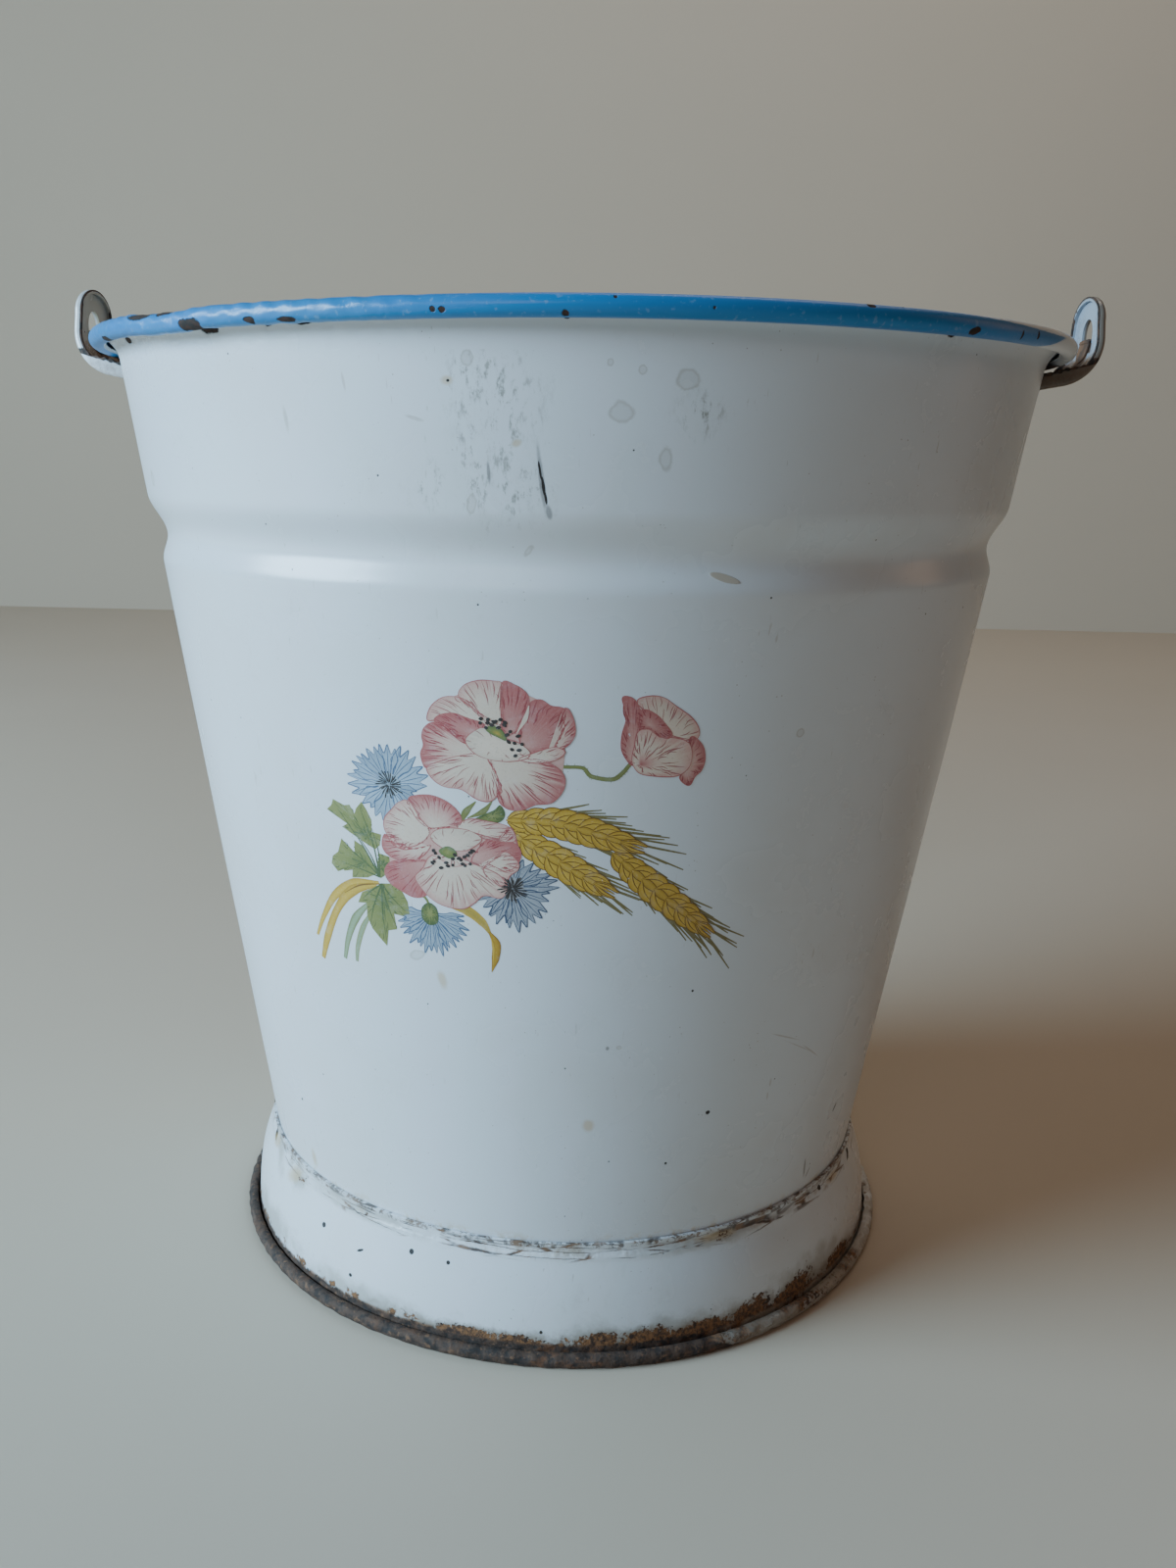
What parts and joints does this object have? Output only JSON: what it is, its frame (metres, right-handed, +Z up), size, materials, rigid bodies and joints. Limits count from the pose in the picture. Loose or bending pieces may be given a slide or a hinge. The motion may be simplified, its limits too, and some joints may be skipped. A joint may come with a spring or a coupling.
{
  "type": "enamel bucket",
  "caption": "Tapered enamelled steel bucket with a rolled rim, a groove under its upper band, a flared foot ring and pressed side ears for a bail.",
  "frame": {"origin": "centre of the circle that the foot ring stands on", "axes": "+Z up the bucket's axis, +X through the right ear, -Y towards the printed side"},
  "size_m": [0.3206, 0.3, 0.3087],
  "materials": {
    "body_enamel": "glossy white vitreous enamel with a blue rim and a printed bunch of flowers, scuffed, pitted and chipped",
    "bottom_enamel": "white vitreous enamel, stained",
    "foot_enamel": "glossy white vitreous enamel, cracked at its collar and worn to dark rusty steel on the rolled edge",
    "ear_enamel": "thin pale enamel with black chipped edges and brown rust"
  },
  "bodies": {
    "root": {"body": "body_enamel", "bottom": "bottom_enamel", "foot_ring": "foot_enamel", "ear_left": "ear_enamel", "ear_right": "ear_enamel"}
  },
  "joints": []
}
